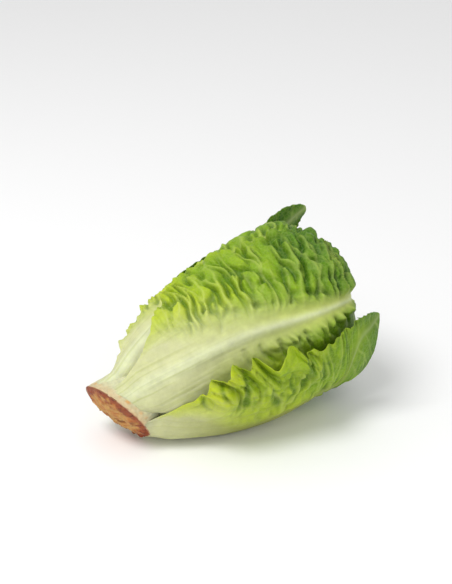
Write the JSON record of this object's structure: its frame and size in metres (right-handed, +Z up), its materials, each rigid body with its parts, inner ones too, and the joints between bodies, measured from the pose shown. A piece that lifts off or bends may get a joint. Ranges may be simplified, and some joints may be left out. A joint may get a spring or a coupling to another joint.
{
  "type": "romaine lettuce head",
  "caption": "Small head of romaine lettuce lying on its side, with a cut stem and puckered leaves nested around a heart.",
  "frame": {"origin": "on the surface that the head lies on, under the middle of its bounding box", "axes": "+X from the cut stem towards the leaf tips, +Z up from the surface, -Y towards the side whose leaf shows its full midrib"},
  "size_m": [0.1696, 0.1044, 0.1],
  "materials": {
    "outer_leaf": "satin",
    "inner_leaf": "satin",
    "stem": "matte"
  },
  "bodies": {
    "root": {"leaf_00": "outer_leaf", "leaf_01": "outer_leaf", "leaf_02": "outer_leaf", "leaf_03": "outer_leaf", "leaf_04": "outer_leaf", "leaf_05": "inner_leaf", "leaf_06": "inner_leaf", "leaf_07": "inner_leaf", "leaf_08": "inner_leaf", "leaf_09": "inner_leaf", "leaf_10": "inner_leaf", "leaf_11": "inner_leaf", "leaf_12": "inner_leaf", "leaf_13": "inner_leaf", "leaf_14": "inner_leaf", "leaf_15": "inner_leaf", "leaf_16": "inner_leaf", "leaf_17": "inner_leaf", "leaf_18": "inner_leaf", "leaf_19": "inner_leaf", "leaf_20": "inner_leaf", "leaf_21": "inner_leaf", "stem_core": "stem"}
  },
  "joints": []
}
